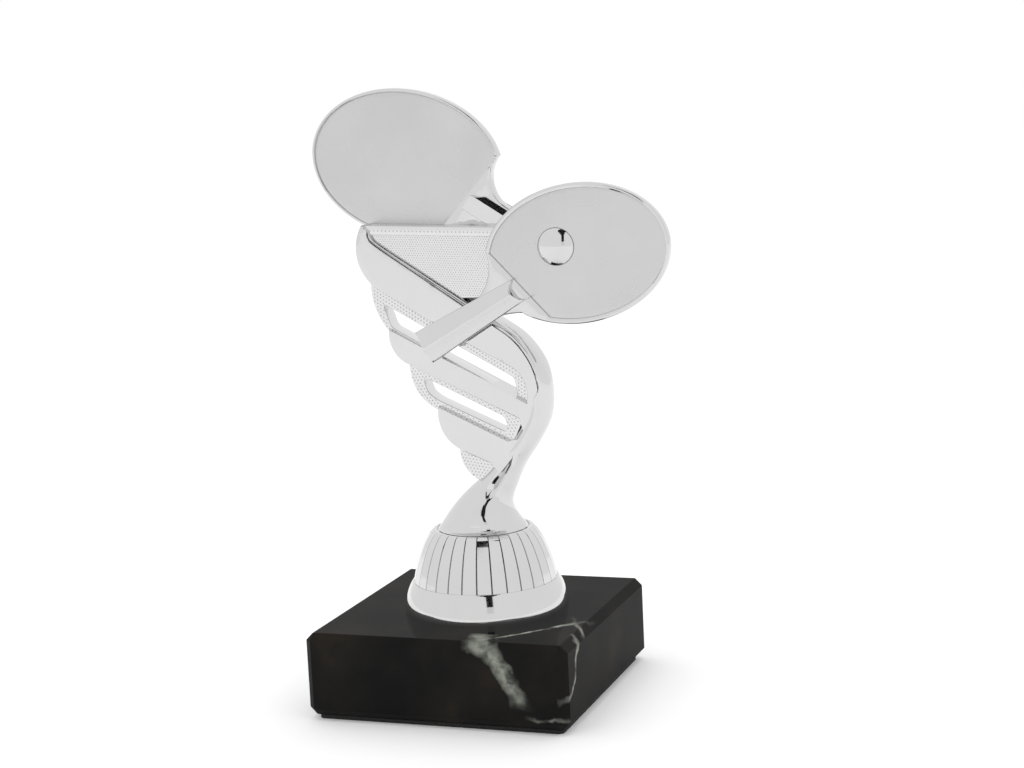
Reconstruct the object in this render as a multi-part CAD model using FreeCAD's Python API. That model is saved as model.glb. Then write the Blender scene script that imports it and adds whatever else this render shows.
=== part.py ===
"""Table tennis trophy: two crossed bats and a net on a swept stem, on a marble block.

Units are millimetres. +Z is up, -Y is the front and +X is to the viewer's right. The origin is the
centre of the underside. Figure outlines are drawn in the XZ plane with heights measured from the
top of the marble block, and extruded along Y.
"""
import FreeCAD, Part
import math
import os

V = FreeCAD.Vector

# ---------------------------------------------------------------- driving dimensions
FELT_SIDE = 61.0          # felt sheet, square
FELT_THICK = 1.0
BLOCK_SIDE = 65.0         # marble block, square
BLOCK_HEIGHT = 20.0
BLOCK_BEVEL = 1.8         # bevel on all twelve edges

AXIS_X = 2.0              # the foot and its rod stand this far right of the block's centre
ROD_R = 3.0               # M6 threaded rod
ROD_HOLE_R = 3.6
SINK_R = 9.0              # counterbore for the nut and washer
SINK_DEPTH = 9.0
NUT_FLATS = 10.0
NUT_HEIGHT = 5.0
WASHER_R = 8.0
WASHER_THICK = 1.6
ROD_BELOW_NUT = 1.0       # thread that shows under the nut
ROD_TOP = 26.5            # top of the rod above the block

SKIRT_R = 20.0            # foot at the marble
SKIRT_TOP_R = 17.8        # top of the plain skirt
SKIRT_HEIGHT = 7.1
FLUTE_R = 17.5            # fluted dome where it leaves the skirt
FLUTE_COUNT = 30
FLUTE_DEPTH = 0.45
FLUTE_TURN = -3.0          # angle of the first valley from +X, in degrees
SEAM_R = 11.0             # stem's flare on top of the foot
FOOT_HEIGHT = 19.75
FOOT_WALL = 1.8
BOSS_R = 6.0              # post inside the foot that takes the clamp load
HOLLOW_TOP = 16.6         # roof of the foot's hollow
SPIGOT_R = 8.0            # round register between the stem and the foot
SPIGOT_DEEP = 1.2

BAND_HALF = 4.0           # half the depth of the bands
STEM_HALF = 4.3           # half the depth of the stem beside the bands
WEB_HALF = 2.5            # half the depth of the mesh webs
NET_HALF = 2.8
TAPE_HALF = 3.3
NET_FLOOR_HALF = 0.5      # thin floor below the net's bottom edge

PIN_R = 0.8               # dowels between the bats and the body
FRONT_PIN_PLACES = [(-6.5, 66.5), (3.5, 71.0)]
FRONT_PIN_Y = (-5.5, -2.5)
REAR_PIN_PLACE = (-21.6, 90.6)
REAR_PIN_Y = (1.6, 4.6)
BALL_RIM_R = 4.6          # the dome of the ball where it meets the rubber
BALL_RISE = 2.4
BALL_CENTRE = (25.8, 88.1)
BALL_PEG_R = 1.2
BALL_PEG_DEEP = 1.5

BAT_THICK = 3.0           # blade with its raised rim
RIM_LIP = 0.5             # how far the rim stands above the rubber
RUBBER_THICK = 0.5
FRONT_BAT_BACK_Y = -BAND_HALF
REAR_BAT_FRONT_Y = 3.0
FRONT_SCALE_LIFT = 2.2    # how far the ridge of a handle's cheek stands above the blade
REAR_BACK_SCALE_LIFT = 2.2
SCALE_UPPER_SHARE = 0.54  # the ridge leaves 54 % of a cheek's width above it
SCALE_BEVEL = 0.04        # share of the width taken by each low bevel beside the ridge's facets
SCALE_BEVEL_LIFT = 0.35   # height of those bevels as a share of the ridge's

BLOCK_TOP = FELT_THICK + BLOCK_HEIGHT


# ---------------------------------------------------------------- drawing helpers
def at(x, h, y=0.0):
    """A point of the figure: x, height above the block, and depth."""
    return V(x, y, BLOCK_TOP + h)


def polar(centre, angle, length):
    """The 2D point a given length away from centre, at an angle in degrees."""
    a = math.radians(angle)
    return (centre[0] + length * math.cos(a), centre[1] + length * math.sin(a))


def line(p, q, y=0.0):
    return Part.LineSegment(at(p[0], p[1], y), at(q[0], q[1], y)).toShape()


def arc(p, mid, q, y=0.0):
    return Part.Arc(at(p[0], p[1], y), at(mid[0], mid[1], y), at(q[0], q[1], y)).toShape()


def curve(points, y=0.0):
    spline = Part.BSplineCurve()
    spline.interpolate([at(x, h, y) for x, h in points])
    return spline.toShape()


def plate(edges, y_low, y_high):
    """A closed outline, drawn at y_low, extruded back to y_high."""
    wire = Part.Wire(Part.__sortEdges__(edges))
    return Part.Face(wire).extrude(V(0, y_high - y_low, 0))


def polygon(points, y_low, y_high):
    pairs = zip(points, points[1:] + points[:1])
    return plate([line(p, q, y_low) for p, q in pairs], y_low, y_high)


def slot(points, radius, y_half):
    """A slot with round ends: a polygon with each upright edge rounded."""
    body = polygon(points, -y_half, y_half)
    upright = [e for e in body.Edges if abs(e.tangentAt(e.FirstParameter).y) > 0.99]
    return body.makeFillet(radius, upright)


def ellipse_wire(centre, a, b, tilt, y):
    """An ellipse in the plane of the figure, its long axis tilted by an angle in degrees."""
    long_end = polar(centre, tilt, a)
    short_end = polar(centre, tilt + 90, b)
    shape = Part.Ellipse(at(*long_end, y), at(*short_end, y), at(*centre, y)).toShape()
    return Part.Wire([shape])


def ellipse_plate(centre, a, b, tilt, y_low, y_high):
    return Part.Face(ellipse_wire(centre, a, b, tilt, y_low)).extrude(V(0, y_high - y_low, 0))


def drill(x, h, radius, y_low, y_high):
    """A cylinder along Y, for a dowel or its hole."""
    return Part.makeCylinder(radius, y_high - y_low, at(x, h, y_low), V(0, 1, 0))


def hexagon(flats, height, base):
    """A hexagonal prism that stands on base."""
    r = flats / math.sqrt(3)
    corners = [base + V(r * math.cos(math.radians(60 * i)), r * math.sin(math.radians(60 * i)), 0)
               for i in range(6)]
    return Part.Face(Part.makePolygon(corners + corners[:1])).extrude(V(0, 0, height))


def round_rod(radius, low, high):
    """A vertical cylinder on the figure's axis between two heights of the whole model."""
    return Part.makeCylinder(radius, high - low, V(AXIS_X, 0, low))


def edges_along(shape, axis):
    """The straight edges that run along one axis, 0 for X, 1 for Y and 2 for Z."""
    found = []
    for edge in shape.Edges:
        if edge.Curve.TypeId == "Part::GeomLine" and abs(edge.Curve.Direction[axis]) > 0.999:
            found.append(edge)
    return found


# ---------------------------------------------------------------- block, felt and fixings
def marble_base():
    half = BLOCK_SIDE / 2
    block = Part.makeBox(BLOCK_SIDE, BLOCK_SIDE, BLOCK_HEIGHT, V(-half, -half, FELT_THICK))
    block = block.makeChamfer(BLOCK_BEVEL, block.Edges)
    hole = round_rod(ROD_HOLE_R, FELT_THICK, BLOCK_TOP)
    sink = round_rod(SINK_R, FELT_THICK, FELT_THICK + SINK_DEPTH)
    return block.cut(hole.fuse(sink))


def base_felt():
    half = FELT_SIDE / 2
    sheet = Part.makeBox(FELT_SIDE, FELT_SIDE, FELT_THICK, V(-half, -half, 0))
    return sheet.makeFillet(1.5, edges_along(sheet, 2))


def flat_washer():
    top = FELT_THICK + SINK_DEPTH
    disc = round_rod(WASHER_R, top - WASHER_THICK, top)
    return disc.cut(round_rod(ROD_R + 0.2, top - WASHER_THICK, top))


def nut_bottom():
    return FELT_THICK + SINK_DEPTH - WASHER_THICK - NUT_HEIGHT


def bevelled_nut(bottom):
    """A hexagon nut with its corners turned off at both ends."""
    body = hexagon(NUT_FLATS, NUT_HEIGHT, V(AXIS_X, 0, bottom))
    turned = round_rod(NUT_FLATS / math.sqrt(3), bottom, bottom + NUT_HEIGHT)
    rims = [e for e in turned.Edges if e.Curve.TypeId == "Part::GeomCircle"]
    turned = turned.makeChamfer(0.6, rims)
    bore = round_rod(ROD_R, bottom, bottom + NUT_HEIGHT)
    return body.common(turned).cut(bore)


def plain_nut(bottom):
    """The nut that is pressed into the stem."""
    bore = round_rod(ROD_R, bottom, bottom + NUT_HEIGHT)
    return hexagon(NUT_FLATS, NUT_HEIGHT, V(AXIS_X, 0, bottom)).cut(bore)


def threaded_rod():
    low = nut_bottom() - ROD_BELOW_NUT
    rod = round_rod(ROD_R, low, BLOCK_TOP + ROD_TOP)
    rims = [e for e in rod.Edges if e.Curve.TypeId == "Part::GeomCircle"]
    return rod.makeChamfer(0.5, rims)


# ---------------------------------------------------------------- fluted foot
def scalloped_wire(radius, height):
    """A ring of shallow outward scallops that meet in sharp valleys."""
    step = 360.0 / FLUTE_COUNT
    edges = []
    for i in range(FLUTE_COUNT):
        ends = [FLUTE_TURN + (i + k) * step for k in (0, 0.5, 1)]
        radii = [radius - FLUTE_DEPTH, radius, radius - FLUTE_DEPTH]
        points = [V(AXIS_X + r * math.cos(math.radians(a)), r * math.sin(math.radians(a)),
                    BLOCK_TOP + height) for a, r in zip(ends, radii)]
        edges.append(Part.Arc(*points).toShape())
    return Part.Wire(edges)


def revolved(profile):
    """A closed profile of (radius, height) points turned about the foot's axis."""
    points = [at(AXIS_X + r, h) for r, h in profile]
    face = Part.Face(Part.makePolygon(points + points[:1]))
    return face.revolve(at(AXIS_X, 0), V(0, 0, 1), 360)


def fluted_foot():
    skirt_edges = [
        line((AXIS_X, 0), (AXIS_X + SKIRT_R, 0)),
        arc((AXIS_X + SKIRT_R, 0), (AXIS_X + 19.3, 3.7), (AXIS_X + SKIRT_TOP_R, SKIRT_HEIGHT)),
        line((AXIS_X + SKIRT_TOP_R, SKIRT_HEIGHT), (AXIS_X, SKIRT_HEIGHT)),
        line((AXIS_X, SKIRT_HEIGHT), (AXIS_X, 0)),
    ]
    skirt = Part.Face(Part.Wire(skirt_edges)).revolve(at(AXIS_X, 0), V(0, 0, 1), 360)
    rings = [(FLUTE_R, SKIRT_HEIGHT), (16.1, 12.7), (14.7, 16.2), (13.2, 18.7), (SEAM_R + 1.2, FOOT_HEIGHT)]
    dome = Part.makeLoft([scalloped_wire(r, h) for r, h in rings], True, False)
    outside = skirt.fuse(dome)
    hollow = revolved([(0, 0), (SKIRT_R - FOOT_WALL, 0), (SKIRT_TOP_R - FOOT_WALL - 0.4, SKIRT_HEIGHT),
                       (13.6, 12.7), (11.4, HOLLOW_TOP), (0, HOLLOW_TOP)])
    post = round_rod(BOSS_R, BLOCK_TOP, BLOCK_TOP + HOLLOW_TOP)
    register = round_rod(SPIGOT_R, BLOCK_TOP + FOOT_HEIGHT - SPIGOT_DEEP, BLOCK_TOP + FOOT_HEIGHT)
    bore = round_rod(ROD_R + 0.25, BLOCK_TOP, BLOCK_TOP + FOOT_HEIGHT)
    return outside.cut(hollow.cut(post)).cut(register).cut(bore)


# ---------------------------------------------------------------- stem
# Each row is a section of the stem, from the waist above the foot to the tip beside the net:
# x and height of its centre, direction of the stem there in degrees, half-width and half-depth.
STEM_SECTIONS = [
    (3.0, 23.6, 80, 8.2, 8.1),
    (5.6, 28.6, 58, 5.0, 4.9),
    (8.5, 32.8, 52, 3.7, 4.8),
    (11.4, 37.1, 55, 2.9, 4.6),
    (15.2, 42.4, 57, 2.8, 4.5),
    (18.1, 48.0, 72, 2.8, 4.4),
    (18.8, 54.0, 95, 2.5, STEM_HALF),
    (17.2, 60.0, 116, 2.3, STEM_HALF),
    (13.4, 65.4, 134, 2.0, STEM_HALF),
    (8.0, 69.4, 148, 1.7, STEM_HALF),
    (1.0, 74.0, 147, 1.5, STEM_HALF),
    (-10.4, 81.6, 146, 1.3, STEM_HALF),
    (-20.6, 88.4, 146, 1.2, STEM_HALF),
    (-22.6, 90.6, 110, 1.1, STEM_HALF),
    (-22.8, 92.6, 92, 0.7, BAND_HALF),
]


def oval(x, h, direction, half_width, half_depth, count=24):
    """A section square to the stem's direction, as a smooth closed curve that starts on its right."""
    points = []
    for i in range(count):
        a = 2 * math.pi * i / count
        px, ph = polar((x, h), direction - 90, half_width * math.cos(a))
        points.append(at(px, ph, half_depth * math.sin(a)))
    spline = Part.BSplineCurve()
    spline.interpolate(points, PeriodicFlag=True)
    return Part.Wire([spline.toShape()])


def stem_blank():
    flare = oval(AXIS_X, FOOT_HEIGHT, 90, SEAM_R, SEAM_R)
    collar = oval(AXIS_X + 0.1, FOOT_HEIGHT + 0.8, 90, SEAM_R - 0.5, SEAM_R - 0.7)
    wires = [flare, collar] + [oval(*section) for section in STEM_SECTIONS]
    return Part.makeLoft(wires, True, False)


def stem(blank):
    """The stem with its register, the pocket for the captive nut and the rod's hole."""
    register = round_rod(SPIGOT_R, BLOCK_TOP + FOOT_HEIGHT - SPIGOT_DEEP, BLOCK_TOP + FOOT_HEIGHT + 0.1)
    pocket_low = BLOCK_TOP + FOOT_HEIGHT - SPIGOT_DEEP
    pocket = hexagon(NUT_FLATS, NUT_HEIGHT, V(AXIS_X, 0, pocket_low))
    bore = round_rod(ROD_R, pocket_low, BLOCK_TOP + ROD_TOP)
    return blank.fuse(register).cut(pocket).cut(bore)


def stem_centre(first, last):
    """Centre points of some of the stem's sections, in order."""
    return [row[:2] for row in STEM_SECTIONS[first:last + 1]]


# ---------------------------------------------------------------- bands
UPPER_UNDERSIDE = [(-21.8, 78.9), (1.1, 65.4), (11.4, 60.1)]
UPPER_END = [(-24.2, 93.6), (-25.9, 87.6), (-21.8, 78.9)]
MIDDLE_TOP = [(-18.4, 68.4), (-4.7, 61.2), (15.9, 50.7)]
MIDDLE_END = [(-18.4, 68.4), (-17.6, 63.4), (-13.1, 59.6)]
MIDDLE_BOTTOM = [(-13.1, 59.6), (14.0, 47.1)]
LOWER_TOP = [(-6.7, 49.6), (10.8, 41.5)]
LOWER_END = [(-6.7, 49.6), (-5.8, 43.4), (-1.3, 39.2)]
LOWER_BOTTOM = [(-1.3, 39.2), (6.1, 36.2)]


def through(points, y):
    """Straight edges from point to point."""
    return [line(p, q, y) for p, q in zip(points, points[1:])]


def finish_band(edges, blank):
    """Extrude a band's outline and fit it to the stem."""
    body = plate(edges, -BAND_HALF, BAND_HALF)
    return body.cut(blank)


def upper_band(blank):
    y = -BAND_HALF
    centre = stem_centre(6, 14)
    edges = [arc(*UPPER_END, y)] + through(UPPER_UNDERSIDE, y)
    edges.append(arc((11.4, 60.1), (15.1, 56.9), (15.9, 50.7), y))
    edges += through([(15.9, 50.7), (18.6, 51.6)] + centre + [(-24.2, 93.6)], y)
    return finish_band(edges, blank)


def middle_band(blank):
    y = -BAND_HALF
    edges = [arc(*MIDDLE_END, y)]
    edges += through([MIDDLE_TOP[0], MIDDLE_TOP[1], MIDDLE_TOP[2], (18.6, 51.6), (18.1, 48.0), (15.2, 42.4),
                      (10.8, 41.5), MIDDLE_BOTTOM[1], MIDDLE_BOTTOM[0]], y)
    return finish_band(edges, blank)


def lower_band(blank):
    y = -BAND_HALF
    edges = [arc(*LOWER_END, y)]
    edges += through([LOWER_TOP[0], LOWER_TOP[1], (15.2, 42.4), (11.4, 37.1), (8.5, 33.8),
                      LOWER_BOTTOM[1], LOWER_BOTTOM[0]], y)
    return finish_band(edges, blank)


# ---------------------------------------------------------------- mesh webs and net
UPPER_WEB_END = [(-22.9, 80.5), (-22.1, 73.5), (-16.9, 66.0)]
UPPER_WEB_REST = [(-16.9, 66.0), (-4.0, 60.0), (17.0, 50.0), (17.6, 55.0), (12.5, 61.0), (-22.9, 80.5)]
MIDDLE_WEB_END = [(-13.7, 61.6), (-12.5, 53.5), (-4.7, 47.9)]
MIDDLE_WEB_REST = [(-4.7, 47.9), (11.5, 40.4), (14.8, 47.5), (-13.7, 61.6)]
LOWER_WEB_END = [(-1.9, 40.7), (-0.7, 34.3), (3.9, 31.3)]
LOWER_WEB_REST = [(3.9, 31.3), (8.0, 34.5), (7.0, 37.2), (-1.9, 40.7)]
SLOT_UPPER_R = 0.7        # corner radius of the slots
SLOT_MIDDLE_R = 0.8
SLOT_UPPER = [(-20.1, 74.6), (-9.8, 68.9), (12.7, 56.7), (13.4, 51.8), (-4.1, 61.2), (-18.1, 68.8)]
SLOT_MIDDLE = [(-10.7, 56.8), (10.0, 47.1), (10.4, 43.4), (-7.2, 51.2), (-9.5, 52.8)]


def web(end, rest, cutters):
    """A thin web between two bands: the free curved end, the hidden edges and what is cut away."""
    body = plate([arc(*end, -WEB_HALF)] + through(rest, -WEB_HALF), -WEB_HALF, WEB_HALF)
    for cutter in cutters:
        body = body.cut(cutter)
    return body


def mesh_webs(bands, blank):
    upper, middle, lower = bands
    upper_slot = slot(SLOT_UPPER, SLOT_UPPER_R, BAND_HALF)
    middle_slot = slot(SLOT_MIDDLE, SLOT_MIDDLE_R, BAND_HALF)
    upper_web = web(UPPER_WEB_END, UPPER_WEB_REST, [upper_slot, upper, middle, blank])
    middle_web = web(MIDDLE_WEB_END, MIDDLE_WEB_REST, [middle_slot, middle, lower, blank])
    lower_web = web(LOWER_WEB_END, LOWER_WEB_REST, [lower, blank])
    return upper_web, middle_web, lower_web


NET_TOP = 93.5            # top of the tape at the left end
NET_TAPE_LOW = 91.3
NET_RIGHT = 13.0
NET_BOTTOM = 75.8
NET_FALL = 0.030          # the tape falls this much per millimetre towards the right
NET_TAPE_LEFT = -23.4
PANEL_CORNERS = [(-22.2, 91.8), (NET_RIGHT, 90.8), (NET_RIGHT, NET_BOTTOM), (-2.2, NET_BOTTOM), (-21.5, 89.0)]
NET_FLOOR_CORNERS = [(-2.2, NET_BOTTOM + 1), (NET_RIGHT - 2, NET_BOTTOM + 1), (NET_RIGHT - 2, 67.0),
                     (8.0, 69.4), (1.0, 74.0)]


def net_tape(blank, band):
    def strip_height(x, h):
        return (x, h - NET_FALL * (x - NET_TAPE_LEFT))
    points = [strip_height(NET_TAPE_LEFT, NET_TOP), strip_height(NET_RIGHT, NET_TOP),
              strip_height(NET_RIGHT, NET_TAPE_LOW), strip_height(NET_TAPE_LEFT + 0.8, NET_TAPE_LOW)]
    return polygon(points, -TAPE_HALF, TAPE_HALF).cut(blank).cut(band)


def net_panel(blank, band, tape):
    panel = polygon(PANEL_CORNERS, -NET_HALF, NET_HALF)
    floor = polygon(NET_FLOOR_CORNERS, -NET_FLOOR_HALF, NET_FLOOR_HALF)
    return panel.fuse(floor).removeSplitter().cut(blank).cut(band).cut(tape)


# ---------------------------------------------------------------- bats
FRONT_BLADE = ((30.6, 86.4), 22.5, 16.3, 8.0)       # centre, half-length, half-width, tilt
FRONT_RUBBER = ((30.8, 86.5), 21.6, 15.1, 8.0)
FRONT_EDGE = [(9.5, 86.7), (24.7, 70.6)]            # straight end of the rubber
FRONT_UPPER_THROAT = [(8.5, 87.0), (9.0, 80.8), (5.0, 75.4)]
FRONT_LOWER_THROAT = [(26.4, 69.8), (17.0, 72.4), (9.6, 70.7)]
FRONT_HANDLE = [(5.0, 75.4), (-10.4, 67.7), (-5.0, 60.9), (9.6, 70.7)]
FRONT_HANDLE_AXIS = [(-7.7, 64.3), (16.5, 78.2)]
FRONT_SCALE_WIDTHS = (8.4, 6.2)                     # at the two ends of the axis

REAR_BLADE = ((-14.7, 107.6), 24.7, 17.8, -12.3)
REAR_RUBBER = ((-14.7, 107.5), 23.9, 17.0, -12.3)
REAR_EDGE = [(8.4, 108.1), (-5.5, 92.8)]
REAR_UPPER_THROAT = [(9.0, 108.6), (7.7, 102.6), (11.8, 96.3)]
REAR_LOWER_THROAT = [(-5.4, 91.2), (0.4, 92.6), (5.4, 91.3)]
REAR_HANDLE = [(11.8, 96.3), (30.1, 85.5), (25.1, 77.9), (5.4, 91.3)]
REAR_HANDLE_AXIS = [(1.4, 98.7), (27.6, 81.7)]
REAR_SCALE_WIDTHS = (5.8, 8.6)
REAR_CHEEK_AXIS = [(1.7, 99.4), (27.6, 82.9)]       # under the edge between its face and bevel
REAR_CHEEK_PROFILE = [(-4.1, 0), (-4.0, 1.2), (0, 1.2), (1.4, 0.2), (1.4, 0)]


def neck_and_handle(upper, lower, handle, y_low, y_high):
    """The narrow end of a bat: two concave throats and the straight-sided handle."""
    top, bottom = handle[1], handle[2]
    edges = [arc(*upper, y_low), arc(*lower, y_low)]
    edges += [line(upper[2], top, y_low), line(top, bottom, y_low), line(bottom, lower[2], y_low)]
    edges.append(line(lower[0], upper[0], y_low))
    return plate(edges, y_low, y_high)


def throat_waste(upper, outward, y_low, y_high):
    """What the upper throat takes off the blade's oval; outward is +1 or -1 along X."""
    start, end = upper[0], upper[2]
    far = start[0] + 6 * outward
    edges = [arc(*upper, y_low), line(end, (far, end[1] + 4), y_low),
             line((far, end[1] + 4), (far, start[1] + 1), y_low), line((far, start[1] + 1), start, y_low)]
    return plate(edges, y_low, y_high)


def blade(oval_sizes, rubber_sizes, edge, throats, handle, outward, y_low):
    """A bat's core plate, with a pocket for the rubber on each face inside a raised rim."""
    y_high = y_low + BAT_THICK
    upper, lower = throats
    body = ellipse_plate(*oval_sizes, y_low, y_high).cut(throat_waste(upper, outward, y_low, y_high))
    body = body.fuse(neck_and_handle(upper, lower, handle, y_low, y_high))
    pocket = RIM_LIP + RUBBER_THICK
    for low, high in ((y_low, y_low + pocket), (y_high - pocket, y_high)):
        body = body.cut(rubber_shape(rubber_sizes, edge, low, high))
    return body


def rubber_shape(sizes, edge, y_low, y_high):
    """The oval rubber sheet with its straight end towards the handle."""
    sheet = ellipse_plate(*sizes, y_low, y_high)
    (x0, h0), (x1, h1) = edge
    run = V(x1 - x0, 0, h1 - h0)
    away = V(run.z, 0, -run.x)
    centre = at(*sizes[0]) - at(x0, h0)
    if away.dot(centre) > 0:
        away = away * -1
    away.normalize()
    run.normalize()
    corner = at(x0, h0, y_low) - run * 40
    far = at(x0, h0, y_low) + run * 60
    waste = Part.Face(Part.makePolygon([corner, far, far + away * 40, corner + away * 40, corner]))
    return sheet.cut(waste.extrude(V(0, y_high - y_low, 0)))


def flat_scale(y_base):
    """The rear bat's front cheek: a flat face with a broad bevel along its upper side."""
    (x0, h0), (x1, h1) = REAR_CHEEK_AXIS
    angle = math.degrees(math.atan2(h1 - h0, x1 - x0))
    sections = []
    for end in REAR_CHEEK_AXIS:
        corners = [at(*polar(end, angle + 90, across), y_base - up) for across, up in REAR_CHEEK_PROFILE]
        sections.append(Part.makePolygon(corners + corners[:1]))
    return Part.makeLoft(sections, True, True)


def ridged_scale(axis, widths, y_base, height):
    """A handle cheek with a ridge along it; height is signed, away from the blade."""
    (x0, h0), (x1, h1) = axis
    angle = math.degrees(math.atan2(h1 - h0, x1 - x0))
    upper, lower = SCALE_UPPER_SHARE, SCALE_UPPER_SHARE - 1
    shares = [(upper, 0), (upper - SCALE_BEVEL, SCALE_BEVEL_LIFT), (0, 1),
              (lower + SCALE_BEVEL, SCALE_BEVEL_LIFT), (lower, 0)]
    sections = []
    for end, width in zip(axis, widths):
        corners = [at(*polar(end, angle + 90, width * across), y_base + height * up) for across, up in shares]
        sections.append(Part.makePolygon(corners + corners[:1]))
    return Part.makeLoft(sections, True, True)


def front_bat():
    y_back = FRONT_BAT_BACK_Y
    y_front = y_back - BAT_THICK
    throats = (FRONT_UPPER_THROAT, FRONT_LOWER_THROAT)
    core = blade(FRONT_BLADE, FRONT_RUBBER, FRONT_EDGE, throats, FRONT_HANDLE, -1, y_front)
    sheet_y = y_front + RIM_LIP
    front_rubber = rubber_shape(FRONT_RUBBER, FRONT_EDGE, sheet_y, sheet_y + RUBBER_THICK)
    back_y = y_back - RIM_LIP - RUBBER_THICK
    back_rubber = rubber_shape(FRONT_RUBBER, FRONT_EDGE, back_y, back_y + RUBBER_THICK)
    scale = ridged_scale(FRONT_HANDLE_AXIS, FRONT_SCALE_WIDTHS, y_front, -FRONT_SCALE_LIFT)
    return core, front_rubber, back_rubber, scale


def rear_bat():
    y_front = REAR_BAT_FRONT_Y
    y_back = y_front + BAT_THICK
    throats = (REAR_UPPER_THROAT, REAR_LOWER_THROAT)
    core = blade(REAR_BLADE, REAR_RUBBER, REAR_EDGE, throats, REAR_HANDLE, 1, y_front)
    sheet_y = y_front + RIM_LIP
    front_rubber = rubber_shape(REAR_RUBBER, REAR_EDGE, sheet_y, sheet_y + RUBBER_THICK)
    back_y = y_back - RIM_LIP - RUBBER_THICK
    back_rubber = rubber_shape(REAR_RUBBER, REAR_EDGE, back_y, back_y + RUBBER_THICK)
    front_scale = flat_scale(y_front)
    back_scale = ridged_scale(REAR_HANDLE_AXIS, REAR_SCALE_WIDTHS, y_back, REAR_BACK_SCALE_LIFT)
    return core, front_rubber, back_rubber, front_scale, back_scale


def ball():
    """A ball's cap on the front bat's rubber, with a peg into the blade."""
    face_y = FRONT_BAT_BACK_Y - BAT_THICK + RIM_LIP
    x, h = BALL_CENTRE
    radius = (BALL_RIM_R**2 + BALL_RISE**2) / (2 * BALL_RISE)
    dome = Part.makeSphere(radius, at(x, h, face_y - BALL_RISE + radius))
    size = 2 * BALL_RIM_R
    front_half = Part.makeBox(2 * size, size, 2 * size, at(x - size, h - size, face_y - size))
    return dome.common(front_half).fuse(drill(x, h, BALL_PEG_R, face_y, face_y + BALL_PEG_DEEP))


# ---------------------------------------------------------------- assembly
def build():
    blank = stem_blank()
    bands = [upper_band(blank), middle_band(blank), lower_band(blank)]
    webs = mesh_webs(bands, blank)
    tape = net_tape(blank, bands[0])
    panel = net_panel(blank, bands[0], tape)
    front_core, front_rubber, front_back_rubber, front_scale = front_bat()
    rear_core, rear_rubber, rear_back_rubber, rear_scale, rear_back_scale = rear_bat()
    half_ball = ball()
    stem_body = stem(blank)

    rear_solid = rear_core.fuse([rear_scale, rear_rubber])
    bands[0] = bands[0].cut(rear_solid)
    stem_body = stem_body.cut(rear_solid).cut(front_core)
    tape = tape.cut(rear_solid)
    front_rubber = front_rubber.cut(half_ball)
    front_core = front_core.cut(half_ball)

    pins = [drill(x, h, PIN_R, *FRONT_PIN_Y) for x, h in FRONT_PIN_PLACES]
    pins.append(drill(*REAR_PIN_PLACE, PIN_R, *REAR_PIN_Y))
    for pin in pins:
        bands[0] = bands[0].cut(pin)
        front_core = front_core.cut(pin)
        rear_core = rear_core.cut(pin)
        stem_body = stem_body.cut(pin)

    return {
        "base_felt": base_felt(),
        "marble_base": marble_base(),
        "threaded_rod": threaded_rod(),
        "hex_nut": bevelled_nut(nut_bottom()),
        "flat_washer": flat_washer(),
        "fluted_foot": fluted_foot(),
        "captive_nut": plain_nut(BLOCK_TOP + FOOT_HEIGHT - SPIGOT_DEEP),
        "stem": stem_body,
        "upper_band": bands[0],
        "middle_band": bands[1],
        "lower_band": bands[2],
        "upper_mesh_web": webs[0],
        "middle_mesh_web": webs[1],
        "lower_mesh_web": webs[2],
        "net_panel": panel,
        "net_tape": tape,
        "rear_bat_blade": rear_core,
        "rear_bat_front_rubber": rear_rubber,
        "rear_bat_back_rubber": rear_back_rubber,
        "rear_bat_front_scale": rear_scale,
        "rear_bat_back_scale": rear_back_scale,
        "front_bat_blade": front_core,
        "front_bat_front_rubber": front_rubber,
        "front_bat_back_rubber": front_back_rubber,
        "front_bat_handle_scale": front_scale,
        "ball": half_ball,
        "locating_pins": Part.makeCompound(pins),
    }


def main():
    os.makedirs("parts", exist_ok=True)
    for name, shape in build().items():
        print(name, shape.isValid(), len(shape.Solids), round(shape.Volume, 1))
        shape.exportStep("parts/" + name + ".step")


main()
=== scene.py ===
"""Looks of the table tennis trophy: bright metallised figure on a polished black marble block.

Outlines are in millimetres in the plane of the figure: x to the right, h above the block's top.
Depths are along Y, and the front is towards -Y. Everything is scaled to metres when a mesh is made.
"""
import math
import bmesh
import bpy
import numpy as np
from mathutils import Matrix, Vector
from mathutils.geometry import delaunay_2d_cdt


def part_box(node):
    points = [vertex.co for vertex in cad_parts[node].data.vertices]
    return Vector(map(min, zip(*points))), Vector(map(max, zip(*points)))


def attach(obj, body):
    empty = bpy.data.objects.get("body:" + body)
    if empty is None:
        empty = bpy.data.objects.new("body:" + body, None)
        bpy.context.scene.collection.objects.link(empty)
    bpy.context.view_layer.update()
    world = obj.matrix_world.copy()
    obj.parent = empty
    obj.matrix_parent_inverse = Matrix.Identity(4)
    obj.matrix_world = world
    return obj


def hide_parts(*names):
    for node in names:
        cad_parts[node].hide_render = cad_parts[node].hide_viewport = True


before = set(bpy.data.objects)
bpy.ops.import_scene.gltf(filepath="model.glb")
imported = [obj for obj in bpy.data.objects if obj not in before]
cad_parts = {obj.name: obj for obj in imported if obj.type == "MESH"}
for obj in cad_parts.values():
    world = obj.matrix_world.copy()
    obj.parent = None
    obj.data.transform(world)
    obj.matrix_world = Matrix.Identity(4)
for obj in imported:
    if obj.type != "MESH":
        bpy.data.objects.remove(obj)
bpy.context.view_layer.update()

MM = 0.001
BLOCK_LOW, BLOCK_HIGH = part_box("marble_base")
FOOT_LOW, FOOT_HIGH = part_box("fluted_foot")
BLOCK_TOP = BLOCK_HIGH.z
AXIS_X = (FOOT_LOW.x + FOOT_HIGH.x) / 2 / MM


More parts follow.
